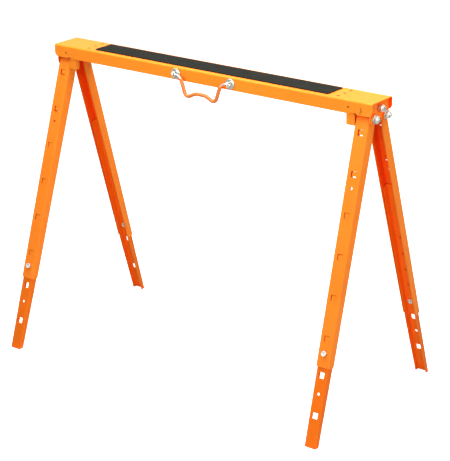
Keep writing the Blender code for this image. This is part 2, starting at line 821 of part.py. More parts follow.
# ---- handle: a bent rod with a sleeve, hanging from two eye bolts
def tube_mesh(name, points, radius):
    """A capped tube through (x, z) points, as a mesh with its caps welded on."""
    curve = bpy.data.curves.new(name, "CURVE")
    curve.dimensions = "3D"
    curve.bevel_depth = radius
    curve.bevel_resolution = 2
    curve.use_fill_caps = True
    spline = curve.splines.new("POLY")
    spline.points.add(len(points) - 1)
    for point, (x, z) in zip(spline.points, points):
        point.co = (x, 0, z, 1)
    obj = bpy.data.objects.new(name, curve)
    scene.collection.objects.link(obj)
    mesh = evaluated_mesh(obj, name)
    bpy.data.objects.remove(obj, do_unlink=True)
    bm = bmesh.new()
    bm.from_mesh(mesh)
    bmesh.ops.remove_doubles(bm, verts=bm.verts[:], dist=0.00001)
    bmesh.ops.recalc_face_normals(bm, faces=bm.faces[:])
    bm.to_mesh(mesh)
    bm.free()
    return smooth(mesh, 40)


def make_handle():
    swing_at = (0, HANDLE_Y, HANDLE_Z)
    axis = empty("handle_axis", None, swing_at)
    path = [(-x, z) for x, z in reversed(HALF_ROD)] + HALF_ROD[1:]
    covered = [point for point in path if abs(point[0]) < GRIP_HALF]
    rod_mesh = tube_mesh("handle_rod", path, ROD_R)
    rod = place("handle_rod", rod_mesh, axis, ROD_ZINC, swing_at)
    grip_mesh = tube_mesh("handle_grip", covered, GRIP_R)
    grip = place("handle_grip", grip_mesh, axis, SLEEVE, swing_at)
    bore_mesh = tube_mesh("grip_bore", path, ROD_R + GRIP_PLAY)
    bore_mesh.materials.append(SLEEVE)
    bore = cutter("grip_bore", bore_mesh, axis, swing_at)
    # These three are placed in world terms, so the offset of the axis is cancelled.
    for obj in (rod, grip, bore):
        obj.matrix_parent_inverse = Matrix.Translation(swing_at).inverted()
    boolean(grip, bore, "DIFFERENCE")


def eye_ring(bm):
    """A torus about X."""
    rows = []
    for i in range(EYE_STEPS):
        turn = 2 * math.pi * i / EYE_STEPS
        row = []
        for j in range(EYE_RING_STEPS):
            angle = 2 * math.pi * j / EYE_RING_STEPS
            reach = EYE_MAJOR + EYE_MINOR * math.cos(angle)
            point = (EYE_MINOR * math.sin(angle), reach * math.cos(turn), reach * math.sin(turn))
            row.append(bm.verts.new(point))
        rows.append(row)
    for i, row in enumerate(rows):
        following = rows[(i + 1) % EYE_STEPS]
        for j in range(EYE_RING_STEPS):
            beside = (j + 1) % EYE_RING_STEPS
            bm.faces.new((row[j], following[j], following[beside], row[beside]))


def make_handle_mounts():
    """The two eye bolts, each with a washer in front of the flange and a nut behind it."""
    shank = partial(add_rod, start=(0, EYE_MAJOR - EYE_SHANK_SINK, 0), length=EYE_SHANK,
                    radius=EYE_SHANK_R, axis="Y", segments=12)
    eye = smooth(solid("handle_eye", eye_ring, shank), 40)
    flange_y = -BEAM_WIDTH / 2
    for side, side_sign in SIDES:
        for part, mesh, finish, y, spin in (
            ("handle_eye", eye, BOLT_ZINC, HANDLE_Y, 0),
            ("handle_washer", HANDLE_WASHER, WASHER_ZINC, flange_y - GAP, -QUARTER_TURN),
            ("handle_nut", HANDLE_NUT, NUT_ZINC, flange_y + SHEET + GAP, QUARTER_TURN),
        ):
            at = (side_sign * HANDLE_X, y, HANDLE_Z)
            place(f"{part}_{side}", mesh.copy(), None, finish, at, (0, 0, spin))


make_beam()
make_pad()
for end_side, end_sign in SIDES:
    make_end(end_side, end_sign)
make_handle()
make_handle_mounts()
bpy.context.view_layer.update()
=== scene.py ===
"""A folding steel sawhorse: powder-coated sheet, zinc hardware, a gritty strip and a carrying handle.

The beam runs along X with its front towards -Y, and the legs stand on the floor at Z = 0.
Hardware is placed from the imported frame: joints give the axes of each leg and bracket, and the
CAD pieces give the sizes. Lengths are in metres.
"""

import json
import math

import bmesh
import bpy
import numpy as np
from mathutils import Matrix, Vector, noise


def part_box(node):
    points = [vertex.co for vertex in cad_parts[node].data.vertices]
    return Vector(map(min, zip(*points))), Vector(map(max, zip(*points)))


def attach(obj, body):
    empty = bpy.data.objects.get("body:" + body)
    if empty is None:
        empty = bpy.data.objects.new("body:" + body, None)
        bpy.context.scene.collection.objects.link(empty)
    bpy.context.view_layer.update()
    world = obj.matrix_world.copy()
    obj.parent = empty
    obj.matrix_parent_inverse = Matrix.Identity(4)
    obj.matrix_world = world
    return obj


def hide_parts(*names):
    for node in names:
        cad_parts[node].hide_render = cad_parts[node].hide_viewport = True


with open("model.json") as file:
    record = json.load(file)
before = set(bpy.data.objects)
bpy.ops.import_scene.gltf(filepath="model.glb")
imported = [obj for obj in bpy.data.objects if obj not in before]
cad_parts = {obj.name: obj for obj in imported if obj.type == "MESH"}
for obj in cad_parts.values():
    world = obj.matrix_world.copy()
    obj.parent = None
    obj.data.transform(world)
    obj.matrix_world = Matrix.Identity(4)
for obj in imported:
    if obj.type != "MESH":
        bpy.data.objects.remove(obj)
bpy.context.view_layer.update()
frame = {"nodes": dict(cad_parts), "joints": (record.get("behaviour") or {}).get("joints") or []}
NODES = frame["nodes"]
JOINTS = {joint["name"]: joint for joint in frame["joints"]}
scene = bpy.context.scene

# Each end of the beam and each row of legs, with its sign along X or Y.
SIDES = (("right", 1), ("left", -1))
ROWS = (("front", -1), ("back", 1))


# ---------------------------------------------------------------- node helpers
def scaled(colour, factor):
    """A colour times one factor, or times one factor per channel, held to 1."""
    factors = factor if isinstance(factor, tuple) else (factor,) * 3
    return tuple(min(1.0, channel * part) for channel, part in zip(colour, factors))


class Material:
    """A short way to write a material's node tree. Colours are (r, g, b)."""

    def __init__(self, name):
        self.material = bpy.data.materials.new(name)
        self.material.use_nodes = True
        self.tree = self.material.node_tree
        self.tree.nodes.clear()
        out = self.add("ShaderNodeOutputMaterial")
        self.shader = self.add("ShaderNodeBsdfPrincipled")
        self.join(self.shader.outputs["BSDF"], out.inputs["Surface"])
        self.coords = self.add("ShaderNodeTexCoord").outputs["Object"]

    def add(self, kind, **settings):
        node = self.tree.nodes.new(kind)
        for key, value in settings.items():
            setattr(node, key, value)
        return node

    def join(self, source, target):
        self.tree.links.new(source, target)

    def put(self, socket, value):
        """Links a socket or sets a value, making a colour opaque."""
        if isinstance(value, bpy.types.NodeSocket):
            self.join(value, socket)
        elif isinstance(value, tuple) and socket.type == "RGBA":
            socket.default_value = (*value, 1.0)
        else:
            socket.default_value = value

    def noise(self, scale, detail=2.0, rough=0.5, stretch=None):
        node = self.add("ShaderNodeTexNoise")
        node.inputs["Scale"].default_value = scale
        node.inputs["Detail"].default_value = detail
        node.inputs["Roughness"].default_value = rough
        place = self.coords
        if stretch:
            mapping = self.add("ShaderNodeMapping")
            self.join(place, mapping.inputs["Vector"])
            mapping.inputs["Scale"].default_value = stretch
            place = mapping.outputs["Vector"]
        self.join(place, node.inputs["Vector"])
        return node.outputs["Fac"]

    def cells(self, scale):
        node = self.add("ShaderNodeTexVoronoi")
        node.inputs["Scale"].default_value = scale
        self.join(self.coords, node.inputs["Vector"])
        return node.outputs["Distance"]

    def ramp(self, value, low, high, to=(0.0, 1.0), kind="LINEAR"):
        node = self.add("ShaderNodeMapRange", interpolation_type=kind)
        self.put(node.inputs["Value"], value)
        for key, number in zip(("From Min", "From Max", "To Min", "To Max"), (low, high, *to)):
            node.inputs[key].default_value = number
        return node.outputs["Result"]

    def maths(self, operation, *values):
        node = self.add("ShaderNodeMath", operation=operation)
        for i, value in enumerate(values):
            self.put(node.inputs[i], value)
        return node.outputs["Value"]

    def mix(self, factor, start, end):
        node = self.add("ShaderNodeMix", data_type="RGBA")
        # Inputs 6 and 7 and output 2 are the node's colour sockets.
        self.put(node.inputs[0], factor)
        self.put(node.inputs[6], start)
        self.put(node.inputs[7], end)
        return node.outputs[2]

    def bump(self, height, distance, strength, before=None):
        node = self.add("ShaderNodeBump")
        self.put(node.inputs["Height"], height)
        node.inputs["Distance"].default_value = distance
        node.inputs["Strength"].default_value = strength
        if before is not None:
            self.join(before, node.inputs["Normal"])
        return node.outputs["Normal"]

    def edge(self, radius):
        """1 on edges and 0 on flats, from how far a rounded normal turns from the true one."""
        soft = self.add("ShaderNodeBevel", samples=4)
        soft.inputs["Radius"].default_value = radius
        plain = self.add("ShaderNodeNewGeometry")
        dot = self.add("ShaderNodeVectorMath", operation="DOT_PRODUCT")
        self.join(soft.outputs["Normal"], dot.inputs[0])
        self.join(plain.outputs["Normal"], dot.inputs[1])
        return self.ramp(dot.outputs["Value"], low=0.985, high=0.80)

    def hollow(self, reach):
        """1 in the open and less inside folds and corners, looking as far as reach."""
        node = self.add("ShaderNodeAmbientOcclusion", samples=6)
        node.inputs["Distance"].default_value = reach
        return node.outputs["AO"]

    def finish(self, **values):
        for key, value in values.items():
            self.put(self.shader.inputs[key.replace("_", " ")], value)
        return self.material


# ---------------------------------------------------------------- finishes
# Painted shade for narrow creases and gaps between parts.
CREASE_SHADE = (0.24, 0.026, 0.002)
MARK_SHADE = (0.25, 0.045, 0.003)


def powder_coat(name, colour, deeper, inner=(1.0, 0.068, 0.0010), marks=(), seed=0.0):
    """Satin powder coat: orange peel, slow shade changes, edges paler in patches, specks and pressed
    marks, with painted shade: deep red (inner) inside channels and near the floor, dark in creases and
    on the marks.
    """
    mat = Material(name)
    sheet = mat.coords
    if seed:
        shift = mat.add("ShaderNodeMapping")
        mat.join(sheet, shift.inputs["Vector"])
        shift.inputs["Location"].default_value = (seed, seed * 0.7, -seed)
        mat.coords = shift.outputs["Vector"]
    slow = mat.noise(scale=9.0, detail=3.0)
    middle = mat.noise(scale=70.0, detail=3.0)
    peel = mat.noise(scale=620.0, detail=2.0, rough=0.45)
    fine = mat.noise(scale=2100.0, detail=1.0)
    shade = mat.mix(mat.ramp(slow, low=0.35, high=0.65), colour, deeper)
    patches = mat.ramp(middle, low=0.62, high=0.78, to=(0.0, 0.35))
    shade = mat.mix(patches, shade, scaled(colour, 0.93))
    # Painted shade: within 45 mm of other surfaces (inside channels, folds and near the floor) the
    # colour turns to the deep red inner.
    inside = mat.ramp(mat.hollow(reach=0.045), low=0.82, high=0.50, to=(0.0, 0.95))
    shade = mat.mix(inside, shade, inner)
    # Painted shade: dark in creases and gaps a few millimetres across.
    crease_shade = mat.ramp(mat.hollow(reach=0.0055), low=0.64, high=0.32, to=(0.0, 0.88))
    shade = mat.mix(crease_shade, shade, CREASE_SHADE)
    # Edges turn paler and a little rougher in noisy patches.
    edge = mat.edge(radius=0.0011)
    edge_patches = mat.ramp(mat.noise(scale=240.0, detail=3.0), low=0.46, high=0.66)
    pale_edges = mat.maths("MULTIPLY", edge, edge_patches)
    paler = scaled(colour, (1.02, 1.35, 2.6))
    shade = mat.mix(mat.maths("MULTIPLY", pale_edges, 0.45), shade, paler)
    specks = mat.ramp(mat.cells(scale=95.0), low=0.035, high=0.020)
    shade = mat.mix(mat.maths("MULTIPLY", specks, 0.30), shade, scaled(deeper, 0.55))
    height = mat.maths("MULTIPLY_ADD", fine, 0.22, peel)
    satin = mat.ramp(middle, low=0.3, high=0.7, to=(0.40, 0.50))
    rough = mat.maths("ADD", satin, mat.maths("MULTIPLY", pale_edges, 0.12))
    normal = mat.bump(height, distance=0.00007, strength=0.55)
    for x, y, z, radius, depth, dark in marks:
        away = mat.add("ShaderNodeVectorMath", operation="DISTANCE")
        mat.join(sheet, away.inputs[0])
        away.inputs[1].default_value = (x, y, z)
        away = away.outputs["Value"]
        spot = mat.ramp(away, low=radius, high=radius * 0.45, kind="SMOOTHSTEP")
        sunk = mat.maths("MULTIPLY", spot, -1.0)
        normal = mat.bump(sunk, distance=depth, strength=1.0, before=normal)
        # Painted shade darkens each mark.
        shade = mat.mix(mat.maths("MULTIPLY", spot, dark), shade, MARK_SHADE)
    return mat.finish(
        Base_Color=shade, Roughness=rough, Normal=normal, Specular_IOR_Level=0.13
    )


# How the noise behind zinc's fine lines is scaled along X, Y and Z.
ROLLED = (8.0, 1.0, 1.0)
TURNED = (1.0, 1.0, 12.0)


def zinc(name, tint, roughness, lines=ROLLED):
    """Bright zinc plate: crystalline mottling, faint passivation tints, fine lines and painted shade
    in tight corners.
    """
    mat = Material(name)
    mottle = mat.noise(scale=520.0, detail=4.0, rough=0.6)
    slow = mat.noise(scale=120.0, detail=2.0)
    shade = mat.mix(mat.ramp(mottle, low=0.35, high=0.68), tint, scaled(tint, 0.80))
    passivation = mat.ramp(slow, low=0.50, high=0.74, to=(0.0, 0.30))
    shade = mat.mix(passivation, shade, scaled(tint, (0.95, 0.90, 0.70)))
    pits = mat.ramp(mat.cells(scale=330.0), low=0.12, high=0.04, to=(0.0, 0.35))
    shade = mat.mix(pits, shade, (0.20, 0.20, 0.19))
    # Painted shade: darker in tight corners.
    corners = mat.ramp(mat.hollow(reach=0.006), low=0.80, high=0.36, to=(0.0, 0.92))
    shade = mat.mix(corners, shade, (0.10, 0.10, 0.085))
    rough = mat.ramp(mottle, low=0.3, high=0.7, to=roughness)
    scratch = mat.noise(scale=900.0, detail=2.0, rough=0.5, stretch=lines)
    height = mat.maths("MULTIPLY_ADD", scratch, 0.5, mottle)
    normal = mat.bump(height, distance=0.00005, strength=0.45)
    return mat.finish(Base_Color=shade, Metallic=0.86, Roughness=rough, Normal=normal)


def grit_strip_finish(name):
    """Charcoal mineral grains of slightly different greys in a matt binder, with browner edges."""
    mat = Material(name)
    grains = mat.cells(scale=900.0)
    speckle = mat.noise(scale=1400.0, detail=3.0, rough=0.7)
    patch = mat.ramp(mat.noise(scale=26.0, detail=3.0), low=0.35, high=0.65)
    base = mat.mix(patch, (0.0165, 0.0170, 0.0140), (0.0125, 0.0130, 0.0105))
    base = mat.mix(mat.ramp(speckle, low=0.52, high=0.74), base, (0.040, 0.041, 0.035))
    base = mat.mix(mat.ramp(speckle, low=0.46, high=0.30), base, (0.007, 0.007, 0.006))
    edge = mat.maths("MULTIPLY", mat.edge(radius=0.0016), 0.8)
    base = mat.mix(edge, base, (0.018, 0.013, 0.009))
    height = mat.maths("MULTIPLY_ADD", speckle, 0.6, grains)
    normal = mat.bump(height, distance=0.0003, strength=0.9)
    rough = mat.ramp(speckle, low=0.3, high=0.7, to=(0.78, 0.96))
    return mat.finish(Base_Color=base, Roughness=rough, Normal=normal, Specular_IOR_Level=0.04)


def sleeve_finish(name):
    """Orange plastic with a faint moulded grain and a slight sheen."""
    mat = Material(name)
    slow = mat.noise(scale=60.0, detail=3.0)
    grain = mat.noise(scale=1500.0, detail=2.0)
    slow = mat.ramp(slow, low=0.35, high=0.65)
    base = mat.mix(slow, (0.72, 0.190, 0.034), (0.67, 0.168, 0.026))
    pale = mat.ramp(grain, low=0.60, high=0.75, to=(0.0, 0.25))
    base = mat.mix(pale, base, (0.86, 0.30, 0.07))
    normal = mat.bump(grain, distance=0.00006, strength=0.6)
    return mat.finish(
        Base_Color=base,
        Roughness=mat.ramp(grain, low=0.3, high=0.7, to=(0.46, 0.58)),
        Normal=normal,
        Specular_IOR_Level=0.4,
        Subsurface_Weight=0.06,
        Subsurface_Radius=(0.004, 0.0015, 0.0005),
        Subsurface_Scale=1.0,
    )


# Pressed marks on the beam's front and back faces, darkened with painted shade: x, z, radius, depth,
# darkness.
FACE_MARKS = (
    (0.4333, 0.7930, 0.0040, 0.0009, 0.85),
    (0.4459, 0.7819, 0.0027, 0.0008, 0.85),
    (0.4680, 0.7945, 0.0030, 0.0007, 0.60),
    (0.4694, 0.7905, 0.0030, 0.0007, 0.60),
    (0.4696, 0.7868, 0.0030, 0.0007, 0.65),
    (0.4668, 0.7832, 0.0031, 0.0007, 0.65),
    (0.4534, 0.7776, 0.0046, 0.0009, 1.00),
    (-0.4605, 0.7910, 0.0040, 0.0008, 0.80),
    (-0.4290, 0.7930, 0.0026, 0.0005, 0.35),
    (-0.4488, 0.7780, 0.0044, 0.0008, 0.85),
)
# Painted shade darkens the holes in the top and their rims: three across the beam at each end.
HOLE_X = 0.394
HOLE_PITCH = 0.028
HOLE_SHADE = (0.0058, 0.0002, 1.00)  # radius, depth, darkness

beam_low, beam_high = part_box("top_beam")
MARKS = [(x, y, z, *mark) for y in (beam_low.y, beam_high.y) for x, z, *mark in FACE_MARKS]
MARKS += [
    (x, y, beam_high.z, *HOLE_SHADE)
    for x in (-HOLE_X, HOLE_X)
    for y in (-HOLE_PITCH, 0.0, HOLE_PITCH)
]

# One orange in four copies: the legs' copy is darker and the extensions' darker still, painted shade
# for lower parts that catch less light; the beam and bracket take the brightest copy.
ORANGE = dict(colour=(0.90, 0.256, 0.018), deeper=(0.88, 0.241, 0.015))
PAINT_BEAM = powder_coat("orange_coat_beam", **ORANGE, marks=MARKS)
PAINT_BRACKET = powder_coat("orange_coat_bracket", **ORANGE, seed=3.1)
PAINT_LEG_SHADED = powder_coat(
    "orange_coat_leg_shaded", colour=(0.86, 0.216, 0.016), deeper=(0.84, 0.202, 0.013), seed=7.7
)
PAINT_EXTENSION_SHADED = powder_coat(
    "orange_coat_extension_shaded",
    colour=(0.77, 0.146, 0.004),
    deeper=(0.74, 0.134, 0.003),
    # A paler deep red for the extensions' painted inner shade.
    inner=(1.0, 0.150, 0.0060),
    seed=11.3,
)
ZINC_BOLT = zinc("zinc_bolt", tint=(0.86, 0.89, 0.80), roughness=(0.22, 0.38))
ZINC_NUT = zinc("zinc_nut", tint=(0.85, 0.88, 0.79), roughness=(0.24, 0.40))
ZINC_WASHER = zinc("zinc_washer", tint=(0.87, 0.92, 0.86), roughness=(0.22, 0.38), lines=TURNED)
ZINC_ROD = zinc("zinc_rod", tint=(0.84, 0.84, 0.81), roughness=(0.18, 0.30), lines=TURNED)
GRIT = grit_strip_finish("charcoal_grit")
SLEEVE = sleeve_finish("orange_sleeve")


# ---------------------------------------------------------------- shading and rolled edges
SMOOTH_LIMIT = math.radians(32)


def smooth_group():
    """Shades smooth but for sharp edges, without touching the mesh's own data."""
    group = bpy.data.node_groups.new("shade_by_angle", "GeometryNodeTree")
    for in_out in ("INPUT", "OUTPUT"):
        group.interface.new_socket(
            "Geometry", in_out=in_out, socket_type="NodeSocketGeometry"
        )
    start, end = group.nodes.new("NodeGroupInput"), group.nodes.new("NodeGroupOutput")
    faces = group.nodes.new("GeometryNodeSetShadeSmooth")
    edges = group.nodes.new("GeometryNodeSetShadeSmooth")
    edges.domain = "EDGE"
    edges.inputs["Shade Smooth"].default_value = False
    angle = group.nodes.new("GeometryNodeInputMeshEdgeAngle")
    above = group.nodes.new("FunctionNodeCompare")
    above.data_type, above.operation = "FLOAT", "GREATER_THAN"
    above.inputs["B"].default_value = SMOOTH_LIMIT
    link = group.links.new
    link(start.outputs[0], faces.inputs["Geometry"])
    link(faces.outputs["Geometry"], edges.inputs["Geometry"])
    link(angle.outputs["Unsigned Angle"], above.inputs["A"])
    link(above.outputs["Result"], edges.inputs["Selection"])
    link(edges.outputs["Geometry"], end.inputs[0])
    return group


SMOOTH = smooth_group()


def shade_by_angle(obj):
    obj.modifiers.new("shade", "NODES").node_group = SMOOTH


def dress(name, finish, edge_width=0.0004):
    """A CAD node keeps its shape and gains a rolled edge and its finish."""
    obj = NODES[name]
    if not obj.material_slots:
        obj.data.materials.append(finish)
    for slot in obj.material_slots:
        slot.material = finish
    weld = obj.modifiers.new("weld", "WELD")
    weld.merge_threshold = 0.00001
    flats = obj.modifiers.new("flats", "DECIMATE")
    flats.decimate_type = "DISSOLVE"
    flats.angle_limit = math.radians(0.6)
    rim = obj.modifiers.new("rolled_edge", "BEVEL")
    rim.width = edge_width
    rim.segments = 2
    rim.limit_method = "ANGLE"
    rim.angle_limit = math.radians(42)
    rim.use_clamp_overlap = True
    rim.loop_slide = False
    shade_by_angle(obj)
    # Wide flats keep a flat look next to the rounded bends.
    level = obj.modifiers.new("flat_faces", "WEIGHTED_NORMAL")
    level.mode = "FACE_AREA"
    level.weight = 100
    level.keep_sharp = True


PAINT_BY_PREFIX = {
    "leg_bracket": PAINT_BRACKET,
    "outer_leg": PAINT_LEG_SHADED,
    "leg_extension": PAINT_EXTENSION_SHADED,
}
dress("top_beam", PAINT_BEAM, edge_width=0.0005)
for name in NODES:
    for prefix, paint in PAINT_BY_PREFIX.items():
        if name.startswith(prefix):
            dress(name, paint)


# ---------------------------------------------------------------- frames and placing
def columns(x, y, z, origin):
    """The matrix of a frame from its axes and origin."""
    return Matrix(((*x, 0.0), (*y, 0.0), (*z, 0.0), (*origin, 1.0))).transposed()


def leg_frame(row, side):
    """Origin on the pivot bolt, +X the pivot's axis, +Y out through the web, +Z up the leg."""
    hinge, slide = JOINTS[f"spread_{row}_{side}"], JOINTS[f"height_{row}_{side}"]
    x = -Vector(hinge["axis"]).normalized()
    z = Vector(slide["axis"]).normalized()
    return columns(x, z.cross(x), z, Vector(hinge["pos_m"]))


def end_frame(side, side_sign):
    """Origin on the cross pin, +X towards the beam's end."""
    fold = JOINTS[f"fold_{side}"]
    x = side_sign * Vector(JOINTS[f"spread_front_{side}"]["axis"]).normalized()
    y = Vector(fold["axis"]).normalized()
    return columns(x, y, x.cross(y), Vector(fold["pos_m"]))


def span(node, matrix):
    """A node's lowest and highest corners in a frame of its own."""
    inverse = matrix.inverted()
    points = np.array([inverse @ v.co for v in NODES[node].data.vertices])
    return Vector(points.min(axis=0)), Vector(points.max(axis=0))


def roll(degrees):
    return Matrix.Rotation(math.radians(degrees), 4, "X")


# Turns that take a solid's +X to another axis.
TO_BACKWARD_X = Matrix.Rotation(math.pi, 4, "Z")
TO_MINUS_Y = Matrix.Rotation(-math.pi / 2, 4, "Z")
TO_PLUS_Y = Matrix.Rotation(math.pi / 2, 4, "Z")
WORLD = Matrix.Identity(4)


def at(base, x, y, z, turn=WORLD):
    return base @ Matrix.Translation((x, y, z)) @ turn


def add_piece(name, solid, matrix, finish, body, replaced):
    """Places a solid as an object that rides a body and stands in for a CAD node."""
    solid.transform(matrix)
    bmesh.ops.recalc_face_normals(solid, faces=solid.faces[:])
    mesh = bpy.data.meshes.new(name)
    solid.to_mesh(mesh)
    solid.free()
    mesh.materials.append(finish)
    obj = bpy.data.objects.new(name, mesh)
    scene.collection.objects.link(obj)
    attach(obj, body)
    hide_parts(replaced)
    shade_by_angle(obj)


# ---------------------------------------------------------------- solids along +X
# Profiles are lists of (x, radius).
def skin(rows, closed=False):
    """Skins rings of equally many points. Closed joins last to first; otherwise both are capped."""
    solid = bmesh.new()
    made = [[solid.verts.new(point) for point in row] for row in rows]
    count = len(made[0])
    pairs = list(zip(made, made[1:]))
    if closed:
        pairs.append((made[-1], made[0]))
    for near, far in pairs:
        for i in range(count):
            k = (i + 1) % count
            solid.faces.new((near[i], near[k], far[k], far[i]))
    if not closed:
        solid.faces.new(made[0])
        solid.faces.new(made[-1])
    return solid


def circle(radius, steps):
    """Pairs of coordinates round a circle."""
    angles = [2 * math.pi * i / steps for i in range(steps)]
    return [(radius * math.cos(angle), radius * math.sin(angle)) for angle in angles]


def turned(profile, steps=48):
    """Rings of a solid of revolution."""
    return [[(x, y, z) for y, z in circle(radius, steps)] for x, radius in profile]


def hex_radius(across, angle):
    part = (angle + math.pi / 6) % (math.pi / 3) - math.pi / 6
    return across / 2 / math.cos(part)


def hex_rows(across, levels, steps=48):
    """Rings of a hexagon whose corners are cut by a cone: levels are (x, largest radius)."""
    rows = []
    for x, limit in levels:
        row = []
        for i in range(steps):
            angle = 2 * math.pi * i / steps
            radius = min(hex_radius(across, angle), limit)
            row.append((x, radius * math.cos(angle), radius * math.sin(angle)))
        rows.append(row)
    return rows


def hex_levels(low, high, across, both=True):
    """Levels with a 30 degree chamfer at the high end, or at both."""
    corner = across / math.sqrt(3)
    inner = across / 2 * 0.955
    cut = corner - inner
    rise = cut * math.tan(math.radians(30))
    steps = 5
    parts = [i / steps for i in range(steps + 1)]
    top = [(high - rise * (1 - part), corner - cut * part) for part in parts]
    if not both:
        return [(low, corner)] + top
    return [(low + rise * part, inner + cut * part) for part in parts] + top


def threads(low, high, radius, pitch, depth):
    """A profile with thread crests between two places along the axis."""
    root = radius - depth
    profile = []
    for i in range(max(1, int((high - low) / pitch))):
        x = low + i * pitch
        profile += [(x, root), (x + pitch * 0.35, radius)]
        profile += [(x + pitch * 0.55, radius), (x + pitch * 0.9, root)]
    return profile


def bolt(length, thread_from, head, radius, across, flange=0.0):
    """Dished head at -X of the origin, threads from thread_from to the tip."""
    # The chamfer is at the free end of the head. Levels are rounded to 0.1 micron.
    levels = [
        (round(-x, 7), round(limit, 7))
        for x, limit in reversed(hex_levels(0.0, head, across, both=False))
    ]
    face = levels[0][1]
    rows = turned([(-head + 0.0005, face * 0.62), (-head + 0.0004, face * 0.70), (-head, face * 0.86)])
    rows += hex_rows(across, levels)
    if flange:
        rows += turned([(-0.0020, flange * 0.80), (-0.0012, flange * 0.95)])
        rows += turned([(-0.0007, flange), (-0.0002, flange), (0.0, flange * 0.97)])
    rows += turned([(0.0001, radius + 0.0002), (0.0004, radius), (thread_from, radius)])
    pitch = 0.00125 if radius > 0.0035 else 0.001
    rows += turned(threads(thread_from + 0.0004, length - 0.0012, radius, pitch, depth=0.0007))
    rows += turned([(length - 0.0010, radius - 0.0004), (length, radius - 0.0012)])
    return skin(rows)


def nut(height, across, hole, collar=0.0):
    """A chamfered hexagon with a countersunk hole and, if asked for, a round collar at +X."""
    rows = hex_rows(across, hex_levels(0.0, height - collar, across))
    if collar:
        rim = across / 2 * 0.90
        rows += turned([(height - collar + 0.0001, rim), (height - 0.0008, rim)])
        rows += turned([(height - 0.0002, rim - 0.0007), (height, rim - 0.0014)])
        rows += turned([(height, hole + 0.0009), (height - 0.0006, hole + 0.0004)])
        rows += turned([(height - 0.0012, hole)])
    else:
        rows += turned([(height, hole + 0.0010), (height - 0.0009, hole)])
    rows += turned([(0.0009, hole), (0.0, hole + 0.0010)])
    return skin(rows, closed=True)


def washer(height, outer, inner):
    edge = min(0.0004, height * 0.3)
    profile = [
        (0.0, inner + edge),
        (edge, inner),
        (height - edge, inner),
        (height, inner + edge),
        (height, inner + (outer - inner) * 0.25),
        (height, inner + (outer - inner) * 0.55),
        (height, outer - 2 * edge),
        (height, outer - edge),
        (height - edge, outer),
        (edge, outer),
        (0.0, outer - edge),
    ]
    return skin(turned(profile, steps=64), closed=True)


# ---------------------------------------------------------------- bolts, washers and nuts
END_BOLT = dict(head=0.0053, radius=0.0040, across=0.013, flange=0.0088)
END_NUT = dict(across=0.013, hole=0.0041)
PIVOT_BOLT = dict(head=0.0064, radius=0.0050, across=0.016)
PIVOT_THREAD = 0.024
PIVOT_WASHER = dict(outer=0.0112, inner=0.0053)
PIVOT_NUT = dict(across=0.017, hole=0.0051, collar=0.0024)
HEIGHT_BOLT = dict(head=0.0053, radius=0.0030, across=0.013)
HEIGHT_NUT = dict(across=0.013, hole=0.0031)
# A pivot nut further out than this, from the cross pin, is outside its bracket.
OUTSIDE_X = 0.03


def end_fasteners(side, end):
    """The bolt and nut that tie a bracket together."""
    tie_bolt, tie_nut, body = f"bracket_tie_bolt_{side}", f"bracket_tie_nut_{side}", f"bracket_{side}"
    low, high = span(tie_bolt, end)
    nut_low, nut_high = span(tie_nut, end)
    _, y, z = (low + high) / 2
    head = END_BOLT["head"]
    solid = bolt(high.x - low.x - head, thread_from=0.022, **END_BOLT)
    place = at(end, high.x - head, y, z, TO_BACKWARD_X @ roll(12))
    add_piece(f"end_bolt_{side}", solid, place, ZINC_BOLT, body, tie_bolt)
    solid = nut(nut_high.x - nut_low.x, **END_NUT)
    place = at(end, nut_low.x, y, z, roll(20))
    add_piece(f"end_nut_{side}", solid, place, ZINC_NUT, body, tie_nut)


def pivot_fasteners(side, side_sign, row, row_sign, end):
    """The bolt, washer and nut a leg turns on."""
    name, body = f"{row}_{side}", f"bracket_{side}"
    bolt_low, bolt_high = span(f"leg_pivot_bolt_{name}", end)
    washer_low, washer_high = span(f"leg_pivot_washer_{name}", end)
    nut_low, nut_high = span(f"leg_pivot_nut_{name}", end)
    _, y, z = (nut_low + nut_high) / 2
    head = PIVOT_BOLT["head"]
    bolt_turn = roll(9 + 14 * row_sign)
    nut_turn = roll(5 + 17 * row_sign + 8 * side_sign)
    # The right end has its nuts outside, the left end its bolt heads.
    if nut_low.x > OUTSIDE_X:
        bolt_x, nut_x = bolt_low.x + head, nut_low.x
    else:
        bolt_x, nut_x = bolt_high.x - head, nut_high.x
        bolt_turn, nut_turn = TO_BACKWARD_X @ bolt_turn, TO_BACKWARD_X @ nut_turn

    length = bolt_high.x - bolt_low.x - head
    solid = bolt(length, thread_from=length - PIVOT_THREAD, **PIVOT_BOLT)
    place = at(end, bolt_x, y, z, bolt_turn)
    add_piece(f"pivot_bolt_{name}", solid, place, ZINC_BOLT, body, f"leg_pivot_bolt_{name}")
    solid = washer(washer_high.x - washer_low.x, **PIVOT_WASHER)
    place = at(end, washer_low.x, y, z)
    add_piece(f"pivot_washer_{name}", solid, place, ZINC_WASHER, body, f"leg_pivot_washer_{name}")
    solid = nut(nut_high.x - nut_low.x, **PIVOT_NUT)
    place = at(end, nut_x, y, z, nut_turn)
    add_piece(f"pivot_nut_{name}", solid, place, ZINC_NUT, body, f"leg_pivot_nut_{name}")


